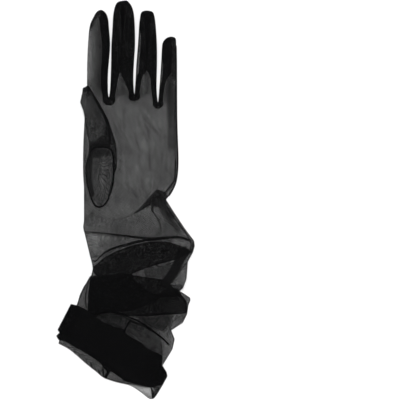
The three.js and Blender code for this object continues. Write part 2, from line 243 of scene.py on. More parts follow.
def netMaterial(name, holeCover, threadCover):
    made, tree, shader = newMaterial(name, netLook["roughness"], netLook["specular"])
    shader.inputs["Base Color"].default_value = linear(netLook["colour"])
    cloth = addNode(tree, "UVMap", {"uv_map": "cloth"})
    turned = addNode(tree, "Mapping", {
        "Rotation": (0, 0, math.radians(netLook["cellTurn"])),
        "Scale": (1 / netLook["cell"], 1 / netLook["cell"] / netLook["cellStretch"], 1),
    }, {"Vector": cloth.outputs["UV"]})
    cells = addNode(tree, "TexVoronoi", {
        "voronoi_dimensions": "2D", "feature": "DISTANCE_TO_EDGE",
        "Scale": 1.0, "Randomness": netLook["cellUnevenness"],
    }, {"Vector": turned.outputs["Vector"]})
    cover = addNode(tree, "MapRange", {
        "From Min": netLook["threadEdge"][0], "From Max": netLook["threadEdge"][1],
        "To Min": threadCover, "To Max": holeCover,
    }, {"Value": cells.outputs["Distance"]})
    place = addNode(tree, "TexCoord")
    clouds = {"Scale": netLook["cloudScale"], "Detail": 3.0}
    cloud = addNode(tree, "TexNoise", clouds, {"Vector": place.outputs["Object"]})
    thicker = aroundOne(tree, cloud.outputs["Fac"], netLook["cloudDepth"])
    pulled = addNode(tree, "Mapping", {
        "Scale": (netLook["streakAcross"], netLook["streakAlong"], 1),
    }, {"Vector": cloth.outputs["UV"]})
    streak = addNode(tree, "TexNoise", {
        "noise_dimensions": "2D", "Scale": 1.0, "Detail": 2.0, "Distortion": 0.6,
    }, {"Vector": pulled.outputs["Vector"]})
    uneven = aroundOne(tree, streak.outputs["Fac"], netLook["streakDepth"])
    gathered = addNode(tree, "Attribute", {"attribute_name": "gather"})
    takeAway = {"operation": "SUBTRACT", 0: 1.0}
    spread = addNode(tree, "Math", takeAway, {1: gathered.outputs["Fac"]})
    through = addNode(tree, "Math", takeAway, {1: cover.outputs["Result"]})
    times = {"operation": "MULTIPLY"}
    for share in (thicker, uneven, spread.outputs[0]):
        through = addNode(tree, "Math", times, {0: through.outputs[0], 1: share})
    solid = addNode(tree, "Math", {**takeAway, "use_clamp": True}, {1: through.outputs[0]})
    tree.links.new(solid.outputs[0], shader.inputs["Alpha"])
    addRelief(tree, shader, 0.3, netLook["relief"], cover.outputs["Result"])
    return made


# Spun polyester sewing thread and net rolled tight: matt black, with the twist as fine slanting ribs, and
# painted shade darkening the grooves between them
threadLook = {
    # the first colour is painted shade for the grooves of the twist, the second is the yarn's own black
    "paintedGrooveShade": 0x040405,
    "crown": 0x0B0B0C,
    "roughness": 0.8,
    "specular": 0.01,
    "twistScale": 260.0,
    "relief": 0.0001,
}


def threadMaterial(name):
    made, tree, shader = newMaterial(name, threadLook["roughness"], threadLook["specular"])
    place = addNode(tree, "TexCoord")
    ribs = {"Scale": threadLook["twistScale"], "Distortion": 1.5, "Detail": 1.0}
    twist = addNode(tree, "TexWave", ribs, {"Vector": place.outputs["Object"]})
    # the twist's grooves are painted darker than its crowns: painted shade
    twistColourAndShade = addNode(tree, "Mix", {"data_type": "RGBA"}, {"Factor": twist.outputs["Fac"]})
    twistColourAndShade.inputs[6].default_value = linear(threadLook["paintedGrooveShade"])
    twistColourAndShade.inputs[7].default_value = linear(threadLook["crown"])
    tree.links.new(twistColourAndShade.outputs[2], shader.inputs["Base Color"])
    addRelief(tree, shader, 0.5, threadLook["relief"], twist.outputs["Fac"])
    return made


sheerNet = netMaterial("black nylon tulle", netLook["holeCover"], netLook["threadCover"])
thumbNet = netMaterial("black nylon tulle, stretched", netLook["thinHoleCover"], netLook["thinThreadCover"])
seamThread = threadMaterial("black polyester thread")
rolledNet = threadMaterial("black nylon tulle, rolled tight")


def turnedBack(uvs):
    turn = math.radians(netLook["backTurn"])
    return uvs @ np.array([[math.cos(turn), math.sin(turn)], [-math.sin(turn), math.cos(turn)]])


def makeSheet(name, places, faces, uvs, gather, material):
    # uvs holds one place for each corner of each face
    mesh = bpy.data.meshes.new(name)
    mesh.from_pydata([tuple(p) for p in places], [], [tuple(f) for f in faces])
    layer = mesh.uv_layers.new(name="cloth")
    layer.data.foreach_set("uv", np.array(uvs, np.float32).ravel())
    attribute = mesh.attributes.new("gather", "FLOAT", "POINT")
    attribute.data.foreach_set("value", np.clip(gather, -0.6, 1).astype(np.float32))
    mesh.polygons.foreach_set("use_smooth", [True] * len(mesh.polygons))
    mesh.materials.append(material)
    made = bpy.data.objects.new(name, mesh)
    bpy.context.scene.collection.objects.link(made)
    return made


# Hand: front and back of the palm and the four fingers, one net folded round the forefinger's side
hand = {
    "middle": 0.0052,  # height of the seams over the floor
    "frontPuff": 0.0046,
    "backPuff": 0.0046,
    "reach": 0.0042,  # how far in from its edge the net has risen by two thirds
    "frontWave": 0.0011,
    "backWave": 0.0006,
    "broadWave": (55, 22, 3.1),
    "smallWave": (150, 70, 8.4),
    "smallShare": 0.5,
    "floorGap": 0.0003,
    "fingerLift": 0.0014,  # half the height of a finger's side, where the folded strip is sewn in
    "seamLift": 0.0004,
    "fingersFrom": 0.085,
    "fingersOver": 0.012,
    "foldReach": 0.006,
    "foldX": -0.02,  # left of here the front and the back are joined where they come so close
    "foldGap": 0.00004,
    "x": (-0.04, 0.05),
    "y": (-0.02, 0.185),
    "spacing": 0.0015,  # of the mesh's points
    "rowShare": 0.87,  # the rows lie closer than their points, as in even triangles
    "edgeShare": 0.9,
    "holeShare": 0.5,
    "edgeRows": (0.0005, 0.0011),
    "edgeRowGap": 0.0004,
    "fineSpacing": 0.0006,
    "fineReach": 0.0014,
    "fineEdgeGap": 0.0013,
    "fineHoleGap": 0.0005,
    "edgeBunch": 0.62,
    "edgeWidth": 0.0014,
    "foldFree": 0.003,
    "holeBunch": 0.6,
    "holeWidth": 0.0011,
    "allowance": 0.34,  # the seam allowance inside the outer side, a darker band
    "allowanceWidth": 0.006,
    "allowanceRim": 0.004,
    "allowanceFrom": 0.02,
    "allowanceOver": 0.09,
    "backAllowance": 0.6,
    "flat": (0.19, 0.2),
    "area": 0.030,
}
foldedSide = [
    (84, 221.5), (84, 210), (84, 198), (83.9, 186), (83.2, 174), (83.1, 160), (83.4, 144), (84, 130),
    (84.8, 115), (86.1, 100), (87, 86), (87.1, 74), (87.3, 62), (87.7, 50), (88.3, 40), (89.2, 30),
    (90.6, 23.5), (92.9, 18.5), (95.6, 13.5),
]
fingerSides = [
    (98.1, 11), (101.2, 10.1), (104.1, 11.5), (106.7, 14.8), (108.2, 20), (108.9, 28), (109.6, 36),
    (110, 43), (109.85, 50), (109.2, 58), (108.5, 66), (108, 73), (107.8, 80), (107.8, 88), (108.1, 94),
    (108.9, 97.4), (109.7, 94), (110.3, 88), (110.7, 80), (111, 70), (111.3, 60), (111.4, 50), (111.7, 42),
    (112.2, 34), (112.7, 26), (113.1, 18), (114, 11), (115.4, 5.8), (117.4, 2.6), (121, 1.3), (126.2, 0.6),
    (128.9, 2.5), (131.6, 6.4), (133.4, 12), (134.4, 20), (134.9, 32), (135, 44), (134.4, 55), (133.8, 64),
    (133.4, 73), (133.3, 81), (133.7, 89), (134.4, 94.4), (135.1, 88), (135.8, 78), (136.4, 66),
    (137.15, 56), (137.9, 46), (138.6, 36), (139.2, 26), (140.1, 18), (141.2, 13), (143.5, 11.2),
    (147, 10.7), (150.4, 11.2), (153.1, 12.7), (154.5, 17), (155.5, 24), (156.2, 33), (156.7, 42),
    (157, 54), (156.9, 66), (156.6, 78), (156.5, 88), (157, 96), (157.9, 102.4), (158.7, 97), (159.3, 90),
    (160, 81), (160.7, 71), (161.4, 60), (161.9, 50), (162.4, 44.4), (163.9, 40.8), (166.8, 38),
    (170.8, 36.8), (173.9, 37.3), (175.8, 39.4),
]
outerSide = [
    (176.1, 46), (176.3, 60), (176.4, 80), (176.5, 98), (176.6, 114), (176.9, 130), (177.4, 144),
    (177.8, 156), (177.8, 164), (177.4, 172), (176.3, 180), (174.4, 186), (171.6, 191.6), (168.9, 195.8),
    (166, 199.6),
]
wristLine = [
    (166, 199.6), (161.4, 196.8), (157, 195.5), (152, 200), (146, 205.5), (138, 211), (130, 215),
    (118, 218.8), (103, 217.4), (93, 215), (88, 217), (84, 221.5),
]
thumbHole = [
    (86.4, 173), (87.1, 182), (89.2, 191), (92.2, 200), (95.6, 205.4), (100.1, 206.9), (105, 204),
    (108.6, 198), (111.5, 189.3), (113.2, 181), (113.9, 170.5), (113.7, 161), (112.9, 154.4), (110.8, 150),
    (107.4, 147.9), (103, 147.4), (97, 147.6), (92.4, 149.6), (89.8, 154), (87.7, 161), (86.5, 168),
    (86.4, 173),
]
handEdge = atGrid(evenLine(foldedSide + fingerSides + outerSide, 900))
fineEdge = atGrid(evenLine(foldedSide + fingerSides + outerSide, 2600))
foldedEdge = atGrid(evenLine(foldedSide, 160))
wristEdge = atGrid(evenLine(wristLine, 90))
holeEdge = atGrid(evenLine(thumbHole, 90))
handLoop = np.concatenate([handEdge, wristEdge[1:-1]])
closedLoop = np.concatenate([handLoop, handLoop[:1]])


# Creases: points on the grid, half width, how much closer the net lies (below 0 where it is stretched),
# and how soft the rim is. With no half width the points go round a patch
wristPinch = [
    (156.4, 189.4), (162, 190.6), (166, 192.6), (167.4, 196), (167.4, 204.6), (160.4, 207.2),
    (153.6, 206.4), (152.4, 204.4), (144.4, 208.2), (136.8, 212.6), (134, 213.4), (136.8, 210.7),
    (144.2, 203.4), (149.7, 197),
]
frontCreases = [
    ([(90.6, 26), (93, 19.6), (97, 14.6), (101, 12.4)], 2.6, 0.84, 4.4),
    ([(97, 13), (103, 13)], 4, 0.5, 6),
    ([(119, 3), (130, 3)], 3, 0.85, 6),
    ([(143, 13), (152, 13)], 3, 0.8, 6),
    ([(166, 40), (175.4, 40)], 3, 0.85, 6),
    ([(105, 14), (104.5, 40), (103.5, 60), (103.5, 86)], 8, 0.52, 11),
    ([(89.4, 34), (88.4, 56), (88, 78)], 2.2, -0.42, 3.6),
    ([(121, 12), (122, 30), (122, 50)], 2.6, -0.5, 4),
    ([(117, 76), (117.6, 96)], 1.6, 0.3, 3.4),
    ([(141, 76), (141.8, 96)], 1.6, 0.36, 3.4),
    ([(162, 91), (163, 99)], 1.2, 0.4, 2.4),
    ([(122, 60), (123, 78)], 3, 0.5, 9),
    ([(147.5, 60), (147, 76)], 3, 0.5, 9),
    ([(123, 80), (123.5, 92)], 3.6, 0.46, 7),
    ([(147, 80), (147, 92)], 3, 0.4, 7),
    ([(174.5, 44), (174.5, 76)], 3.2, 0.55, 3),
    ([(168, 84), (168, 100)], 4, 0.38, 6),
    ([(175.8, 80), (175.2, 100), (174.8, 120), (174.8, 140), (175.4, 160)], 0.5, 0.6, 1),
    ([(171, 100), (171, 124), (171, 145)], 3.4, 0.2, 4),
    ([(141, 110), (144.6, 120), (148, 133), (149.4, 150), (149.6, 170)], 0.5, 0.3, 1.4),
    ([(143.4, 112), (151, 124), (161, 139)], 0.4, 0.24, 1),
    ([(146.6, 108), (154.6, 121), (163.4, 134)], 0.4, 0.2, 1),
    ([(145, 110), (152.8, 122.5), (162.2, 136.5)], 0.4, -0.2, 1),
    ([(148.6, 107), (156.4, 119), (164, 131)], 0.4, -0.18, 1),
    ([(127, 104), (132, 122), (137, 140), (142, 164)], 0.5, -0.16, 1.6),
    ([(130, 126), (138, 146), (140, 170)], 0.5, 0.12, 2),
    ([(120, 126), (130, 142), (136, 160)], 0.6, -0.14, 1.6),
    ([(152, 140), (154, 156), (153, 178)], 0.6, -0.14, 1.6),
    ([(145, 152), (149, 172), (147, 190)], 0.6, -0.12, 1.8),
    ([(118, 128), (121, 150), (119, 176)], 1, 0.1, 2.2),
    ([(136, 114), (140, 136), (140, 160)], 9, -0.12, 9),
    ([(118, 204), (136, 205)], 5, 0.08, 6),
    ([(144, 172), (150, 184), (146, 194)], 1, -0.1, 2),
    (wristPinch, None, 0.74, 1.2),
    ([(156.5, 191), (161.5, 195.5), (165.5, 199.6)], 0.7, 0.86, 1),
    ([(159.6, 196.4), (164, 193.4), (167.9, 189.6), (172.6, 183.2), (174.8, 178), (175.6, 160)], 0.7, 0.9,
      0.9),
    ([(84, 222), (88, 217), (93, 212)], 0.8, 0.4, 1.2),
    ([(112, 95), (118, 108), (116, 122)], 5, -0.06, 6),
    ([(85, 120), (85, 200)], 2, 0.26, 3),
    ([(107.6, 207.6), (109.6, 212.6)], 1, -0.22, 2.4),
    ([(114, 206), (116, 211)], 1, -0.22, 2.4),
    ([(120, 204), (122, 209)], 1, -0.22, 2.4),
    ([(126, 202), (128, 207)], 1, -0.22, 2.4),
]


def wavesAt(places, scales):
    across, along, layer = scales
    return np.array([noise.noise(Vector((x * across, y * along, layer))) for x, y in places])


def handHeights(places):
    # heights of the front and the back net over the floor
    rise = 1 - np.exp(-distanceTo(places, handEdge) / hand["reach"])
    toFingers = smoothStep((places[:, 1] - hand["fingersFrom"]) / hand["fingersOver"])
    seam = hand["seamLift"] + (hand["fingerLift"] - hand["seamLift"]) * toFingers
    lift = seam * smoothStep(distanceTo(places, foldedEdge) / hand["foldReach"])
    wave = wavesAt(places, hand["broadWave"]) + hand["smallShare"] * wavesAt(places, hand["smallWave"])
    front = hand["middle"] + lift + rise * (hand["frontPuff"] + hand["frontWave"] * wave)
    back = hand["middle"] - lift - rise * (hand["backPuff"] - hand["backWave"] * wave)
    return front, np.maximum(back, hand["floorGap"])


def rowsOfPoints(step, rowStep, shift):
    # points in even rows over the hand, every second row moved along by the shift
    rows = []
    for row, y in enumerate(np.arange(*hand["y"], rowStep)):
        along = np.arange(hand["x"][0] + (shift if row % 2 else 0), hand["x"][1], step)
        rows.append(np.column_stack([along, np.full(len(along), y)]))
    return np.concatenate(rows)


def handPoints():
    # the outline and the hole, then points inside, closer at the edge and beside sharp creases
    step, fineStep = hand["spacing"], hand["fineSpacing"]
    inner = rowsOfPoints(step, hand["rowShare"] * step, step / 2)
    inner = inner[inside(inner, handLoop) & (distanceTo(inner, closedLoop) > hand["edgeShare"] * step)]
    inner = inner[distanceTo(inner, holeEdge) > hand["holeShare"] * step]
    normals = np.gradient(handEdge, axis=0)
    normals = np.stack([normals[:, 1], -normals[:, 0]], 1) / norm(normals, axis=1)[:, None]
    close = np.concatenate([handEdge + normals * reach for reach in hand["edgeRows"]])
    close = close[inside(close, handLoop) & (distanceTo(close, closedLoop) > hand["edgeRowGap"])]
    close = close[distanceTo(close, holeEdge) > fineStep]
    fine = rowsOfPoints(fineStep, fineStep, 0)
    creaseGap = np.full(len(fine), 1.0)
    for line, halfWidth, *_ in frontCreases:
        if halfWidth is None or halfWidth < 1:
            sharp = atGrid(evenLine(line + line[:1] if halfWidth is None else line, 60))
            creaseGap = np.minimum(creaseGap, distanceTo(fine, sharp))
    fine = fine[creaseGap < hand["fineReach"]]
    fine = fine[inside(fine, handLoop) & (distanceTo(fine, closedLoop) > hand["fineEdgeGap"])]
    fine = fine[distanceTo(fine, holeEdge) > hand["fineHoleGap"]]
    return np.concatenate([handLoop, holeEdge[:-1], inner, close, fine])


def handBunching(flat):
    edgeDense = hand["edgeBunch"] * (1 - smoothStep(distanceTo(flat, handEdge) / hand["edgeWidth"]))
    seamDense = edgeDense * smoothStep(distanceTo(flat, foldedEdge) / hand["foldFree"])
    outerGap = distanceTo(flat, atGrid(evenLine(outerSide, 80)))
    allowance = 1 - smoothStep((outerGap - hand["allowanceWidth"]) / hand["allowanceRim"])
    allowance *= hand["allowance"] * smoothStep((flat[:, 1] - hand["allowanceFrom"]) / hand["allowanceOver"])
    rim = hand["holeBunch"] * (1 - smoothStep(distanceTo(flat, holeEdge) / hand["holeWidth"]))
    front = both(both(both(seamDense, allowance), rim), bunching(backOnGrid(flat), frontCreases))
    return front, both(seamDense, hand["backAllowance"] * allowance)


def handSheets():
    points = handPoints()
    count, holeCount = len(handLoop), len(holeEdge) - 1
    edges = [(k, (k + 1) % count) for k in range(count)]
    edges += [(count + k, count + (k + 1) % holeCount) for k in range(holeCount)]
    cut = geometry.delaunay_2d_cdt([Vector(p) for p in points], edges, [], 1, 1e-7)
    flat = np.array([tuple(v) for v in cut[0]])
    triangles = np.array([tuple(f) for f in cut[2]])
    triangles = triangles[inside(flat[triangles].mean(axis=1), handLoop)]
    inHole = inside(flat[triangles].mean(axis=1), holeEdge[:-1])
    front, back = handHeights(flat)
    places = np.concatenate([np.column_stack([flat, front]), np.column_stack([flat, back])])
    faces = np.concatenate([triangles[~inHole], triangles[:, ::-1] + len(flat)])
    netPlaces = np.concatenate([flat, turnedBack(flat) * netLook["backStretch"]])
    gather = np.concatenate(handBunching(flat))
    made = makeSheet("hand_net", places, faces, netPlaces[faces.ravel()], gather, sheerNet)
    # the front and the back are joined along the fold
    work = bmesh.new()
    work.from_mesh(made.data)
    nearFold = [v for v in work.verts if v.co.x < hand["foldX"]]
    bmesh.ops.remove_doubles(work, verts=nearFold, dist=hand["foldGap"])
    bmesh.ops.delete(work, geom=[v for v in work.verts if not v.link_faces], context="VERTS")
    work.to_mesh(made.data)
    work.free()
    return made


handNet = handSheets()
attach(handNet, "root")
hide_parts("hand")
print("hand is made,", len(handNet.data.polygons), "faces")


# Fourchettes: a strip between two fingers, folded inwards, so each finger's side has four layers.
# It runs between two places on the grid and is given its depth at ways up from the crotch, on both legs
gussets = {
    "fourchette_forefinger_middle": {
        "from": (100.6, 10.2), "to": (122.8, 1.1), "crotch": 8.3, "inset": (0, 0), "flat": (0.018, 0.19),
        "side": [(2.4, 5.5), (11, 6.6), (17, 6.8), (40, 7.2), (70, 8.6)],
        "other": [(2.4, 5.5), (11, 6.4), (17, 6.9), (23, 8), (27, 10.2), (31, 11.2)],
    },
    "fourchette_middle_ring": {
        "from": (120.8, 1.3), "to": (148.4, 10.9), "crotch": 7.1, "inset": (0, 2.6), "flat": (0.019, 0.18),
        "side": [(2.4, 5.1), (5.4, 5.8), (11.9, 8.4), (17.4, 11.2), (22, 12.8), (30, 13)],
        "other": [(2.4, 4.8), (13.7, 5.4), (18.6, 6.5), (22, 9.4), (25, 10.8)],
    },
    "fourchette_ring_little": {
        "from": (146.6, 10.9), "to": (170.4, 37), "crotch": 6.5, "inset": (0, 2), "flat": (0.018, 0.155),
        "side": [(2.4, 4.8), (11.2, 5.1), (21.7, 5.8), (28, 7.6), (31, 10), (34, 10.8)],
        "other": [(2.4, 4.5), (11.2, 4.6), (18.2, 4.9), (23, 6.4), (27, 9), (30, 10.4)],
    },
}
stripLook = {
    "shares": [0, 0.12, 0.3, 0.5, 0.7, 0.86, 0.96, 1, 0.96, 0.86, 0.7, 0.5, 0.3, 0.12, 0],
    "step": 0.1,  # in squares of the grid
    "crotch": [(0, 1.08), (0.6, 0.88), (1.3, 0.74)],  # how deep the strip is close by, as a share
    "insetAway": (14, 10),  # from the crotch, where the inset begins and how long it takes
    "insetTip": (20, 14),
    "depthSmooth": 6,
    "turnSmooth": 24,
    "roundness": 0.7,
    "ripple": 0.0003,
    "rippleScale": (300, 90),
    "edgeBunch": 0.3,
    "bunch": 0.1,
    "columnWidth": 0.0015,
    "fineNear": 6,  # so far from the crotch the rows are close
    "fineRows": 2,
    "coarseRows": 8,
}


def nearestOn(line, spot):
    return int(np.argmin(norm(line - atGrid([spot])[0], axis=1)))


def smoothed(values, reach):
    kernel = np.hanning(2 * reach + 1) / np.hanning(2 * reach + 1).sum()
    return np.convolve(np.pad(values, reach, mode="edge"), kernel, mode="valid")


def gussetStrip(name, facts):
    path = fineEdge[nearestOn(fineEdge, facts["from"]):nearestOn(fineEdge, facts["to"]) + 1]
    rough = lengthsAlong(path)
    steps = np.arange(0, rough[-1], stripLook["step"] * grid["square"])
    path = np.stack([np.interp(steps, rough, path[:, i]) for i in (0, 1)], 1)
    low = int(np.argmin(path[:, 1]))
    fromCrotch = (steps - steps[low]) / grid["square"]
    depth = np.zeros(len(path))
    for leg, chosen in (("side", fromCrotch < 0), ("other", fromCrotch >= 0)):
        way = [(along, share * facts["crotch"]) for along, share in stripLook["crotch"]] + facts[leg]
        depth[chosen] = np.interp(np.abs(fromCrotch[chosen]), *np.transpose(way))
    depth = smoothed(depth, stripLook["depthSmooth"]) * grid["square"]
    toTip = np.minimum(steps, steps[-1] - steps) / grid["square"]
    (awayFrom, awayOver), (tipFrom, tipOver) = stripLook["insetAway"], stripLook["insetTip"]
    away = smoothStep((np.abs(fromCrotch) - awayFrom) / awayOver) * smoothStep((toTip - tipFrom) / tipOver)
    inset = np.where(fromCrotch < 0, *facts["inset"]) * away * grid["square"]
    tangent = np.gradient(path, axis=0)
    tangent = np.stack([smoothed(tangent[:, i], stripLook["turnSmooth"]) for i in (0, 1)], 1)
    inward = np.stack([tangent[:, 1], -tangent[:, 0]], 1)
    inward /= norm(inward, axis=1)[:, None]
    near = np.abs(fromCrotch) < stripLook["fineNear"]
    every = np.where(near, stripLook["fineRows"], stripLook["coarseRows"])
    numbers = np.arange(len(path))
    kept = sorted({0, len(path) - 1, *numbers[numbers % every == 0].tolist()})
    places, netPlaces, gather = [], [], []
    width = len(stripLook["shares"])
    for k in kept:
        for j, share in enumerate(stripLook["shares"]):
            side = 1 if j < width // 2 else -1
            height = hand["fingerLift"] * (1 - share) ** stripLook["roundness"]
            ripple = wavesAt(path[k:k + 1], (*stripLook["rippleScale"], j * 0.4))[0] * stripLook["ripple"]
            spot = path[k] + inward[k] * (inset[k] + (depth[k] - inset[k]) * share)
            places.append((spot[0], spot[1], hand["middle"] + side * height + ripple * share))
            gather.append(stripLook["edgeBunch"] if share in (0, 1) else stripLook["bunch"])
            netPlaces.append((j * stripLook["columnWidth"], steps[k]))
    faces = []
    for k in range(len(kept) - 1):
        for j in range(width - 1):
            first = k * width + j
            faces.append((first, first + 1, first + width + 1, first + width))
    uvs = [netPlaces[v] for face in faces for v in face]
    return makeSheet(name + "_net", places, faces, uvs, np.array(gather), sheerNet)


for gussetName, facts in gussets.items():
    strip = gussetStrip(gussetName, facts)
    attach(strip, "root")
    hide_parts(gussetName)
print("fourchettes are made")


# A tube of net is a row of rings, each with its front's and its back's height in mm, the steps to the next
# ring, its front line and its back line on the grid, whether the cloth turns back there (fold) and how much
# closer the net lies there (bunch)
tubeLook = {
    "evenShare": 0.55,  # the rest of the columns' spacing draws them to the sides
    "squareness": 6,
    "foldBunch": 0.5,
    "bunchRows": 2.5,
    "rimWidth": 1.3,
    "rippleScale": 90,
    "floorGap": 0.0003,
}


def ring(high, low, steps, front, back=None, fold=False, bunch=None):
    if bunch is None:
        bunch = tubeLook["foldBunch"] if fold else 0
    return {
        "high": high, "low": low, "steps": steps, "front": front, "back": back or front, "fold": fold,
        "bunch": bunch,
    }


def atColumns(facts, shares, profile):
    middle = (facts["high"] + facts["low"]) / 2
    return {
        **facts,
        "front": evenLine(facts["front"], 0, shares),
        "back": evenLine(facts["back"], 0, shares),
        "high": middle + (facts["high"] - middle) * profile,
        "low": middle + (facts["low"] - middle) * profile,
    }


def foldShare(t, foldBefore, foldAfter):
    # the cloth rounds off where it turns back, before or after this row
    if foldBefore and foldAfter:
        return (1 - math.cos(math.pi * t)) / 2
    if foldAfter:
        return math.sin(math.pi * t / 2)
    if foldBefore:
        return 1 - math.cos(math.pi * t / 2)
    return t


def tubeRows(rings):
    rows = []
    for first, after in zip(rings, rings[1:] + rings[-1:]):
        for step in range(first["steps"]):
            t = step / first["steps"]
            share = foldShare(t, first["fold"], after["fold"])
            fromFirst = max(0, 1 - step / tubeLook["bunchRows"])
            toAfter = max(0, 1 - (first["steps"] - step) / tubeLook["bunchRows"])
            rows.append({
                "front": between(first["front"], after["front"], share),
                "back": between(first["back"], after["back"], share),
                "high": between(first["high"], after["high"], t),
                "low": between(first["low"], after["low"], t),
                "bunch": max(first["bunch"] * fromFirst, after["bunch"] * toAfter),
            })
    return rows


def aroundTube(front, back):
    # along the front from left to right, and back along the underside
    return np.concatenate([front, back[-2:0:-1]])


def tubeFaces(rounds, columns, closed):
    # faces of four corners, with the lengths round and along the cloth as the net's places
    rowCount, ringSize = rounds.shape[:2]
    steps = norm(np.diff(rounds, axis=0), axis=2)
    v = np.concatenate([np.zeros((1, ringSize)), np.cumsum(steps, axis=0)])
    around = norm(np.roll(rounds, -1, axis=1) - rounds, axis=2)
    u = np.concatenate([np.zeros((rowCount, 1)), np.cumsum(around, axis=1)], axis=1)
    faces, uvs = [], []
    for r in range(rowCount - 1):
        for c in range(ringSize):
            n = (c + 1) % ringSize
            first, second = r * ringSize, (r + 1) * ringSize
            faces.append((first + c, second + c, second + n, first + n))
            corners = np.array([
                (u[r, c], v[r, c]), (u[r + 1, c], v[r + 1, c]),
                (u[r + 1, c + 1], v[r + 1, n]), (u[r, c + 1], v[r, n]),
            ])
            uvs.append(turnedBack(corners) if c >= columns - 1 else corners)
    if closed:
        base = (rowCount - 1) * ringSize
        for c in range(1, columns - 1):
            faces.append((base + c, base + ringSize - c, base + (ringSize - c + 1) % ringSize, base + c - 1))
            uvs.append(np.array([(u[-1, c], v[-1, c])] * 4))
    return faces, np.concatenate(uvs)


def tube(name, rings, creases, look, material, lift=None, closed=False):
    columns = look["columns"]
    even = np.linspace(0, 1, columns)
    shares = between((1 - np.cos(np.pi * even)) / 2, even, tubeLook["evenShare"])
    profile = np.clip(1 - np.abs(2 * shares - 1) ** tubeLook["squareness"], 0, 1) ** 0.5
    rows = tubeRows([atColumns(facts, shares, profile) for facts in rings])
    onGrid = np.concatenate([aroundTube(row["front"], row["back"]) for row in rows])
    heights = np.concatenate([aroundTube(row["high"], row["low"]) for row in rows]) / 1000
    ringSize = 2 * (columns - 1)
    isFront = np.tile(np.arange(ringSize) < columns, len(rows))
    flat = atGrid(onGrid)
    if lift is not None:
        heights = lift(flat, heights, isFront, ringSize)
    scale = tubeLook["rippleScale"]
    ripple = []
    for (x, y), z in zip(flat, heights):
        ripple.append(noise.noise(Vector((x * scale, y * scale, 1.7 + 40 * z))))
    calm = np.tile(aroundTube(profile, profile), len(rows))
    heights = np.maximum(heights + np.array(ripple) * look["wave"] / 1000 * calm, tubeLook["floorGap"])
    toSide = np.minimum(shares, 1 - shares)
    toSide = np.tile(aroundTube(toSide, toSide), len(rows))
    spans = np.repeat([norm(row["front"][-1] - row["front"][0]) for row in rows], ringSize)
    edgeDense = look["edgeBunch"] * (1 - smoothStep(toSide * spans / tubeLook["rimWidth"]))
    gather = both(np.repeat([row["bunch"] for row in rows], ringSize), edgeDense)
    gather = both(gather, np.where(isFront, bunching(onGrid, creases), 0))
    places = np.column_stack([flat, heights])
    faces, uvs = tubeFaces(places.reshape(len(rows), ringSize, 3), columns, closed)
    return makeSheet(name, places, faces, uvs, gather, material)


# Thumb: a pouch sewn round the oval hole, lying up over the palm
thumb = {
    "columns": 60,
    "wave": 0.3,
    "edgeBunch": 0.3,
    "seamRise": 0.0002,
    "palmGap": 0.0003,
    "flat": (0.062, 0.11),
    "area": 0.0046,
}
lowerArc = thumbHole[:11]
upperArc = thumbHole[:9:-1]
thumbRings = [
    ring(11.4, 11.3, 8, lowerArc, upperArc, bunch=0.5),
    ring(14.6, 12, 8, [(86.6, 166), (89.5, 178), (95, 188), (101, 190.5), (107.5, 186), (113.5, 176),
         (117, 167)],
         [(86.6, 166), (88.2, 156), (92, 147), (100, 143.5), (108, 143.5), (114, 150), (117, 167)]),
    ring(16.2, 12.2, 8, [(88.7, 154.5), (95, 165), (103, 169), (111, 165), (117, 156)],
         [(88.7, 154.5), (92, 145), (101, 139.5), (110, 141), (117, 156)]),
    ring(17.2, 12.3, 8, [(89.5, 143.5), (97, 150), (107, 151), (115.9, 143)],
         [(89.5, 143.5), (96, 138.5), (107, 136.5), (115.9, 143)]),
    ring(17.8, 12.3, 8, [(86.8, 131.4), (99, 135), (112.3, 131.5)],
         [(86.8, 131.4), (99, 128.5), (112.3, 131.5)]),
    ring(17.8, 12.3, 8, [(85.1, 119.5), (96, 120.5), (108.4, 120)],
         [(85.1, 119.5), (96, 117), (108.4, 120)]),
    ring(17.4, 12.3, 6, [(83.5, 111), (93, 111.5), (103.8, 110.8)],
         [(83.5, 111), (93, 109), (103.8, 110.8)]),
    ring(16.8, 12.4, 5, [(80.4, 102.4), (90, 102), (98.6, 102)], [(80.4, 102.4), (90, 100.5), (98.6, 102)]),
    ring(16.2, 12.5, 5, [(81.6, 97), (88, 95.5), (94.9, 96)], [(81.6, 97), (88, 94.5), (94.9, 96)]),
    ring(15.6, 12.7, 4, [(82.6, 92.5), (87, 91.5), (92, 91.2)], [(82.6, 92.5), (87, 91), (92, 91.2)]),
    ring(14.9, 13, 3, [(83, 88.3), (87, 87.8), (90, 87.8)], [(83, 88.3), (87, 87.4), (90, 87.8)]),
    ring(14.2, 13.8, 1, [(86, 86.8), (87.5, 86.1), (88.8, 86.2)],
         [(86, 86.8), (87.5, 86), (88.8, 86.2)], bunch=0.4),
]
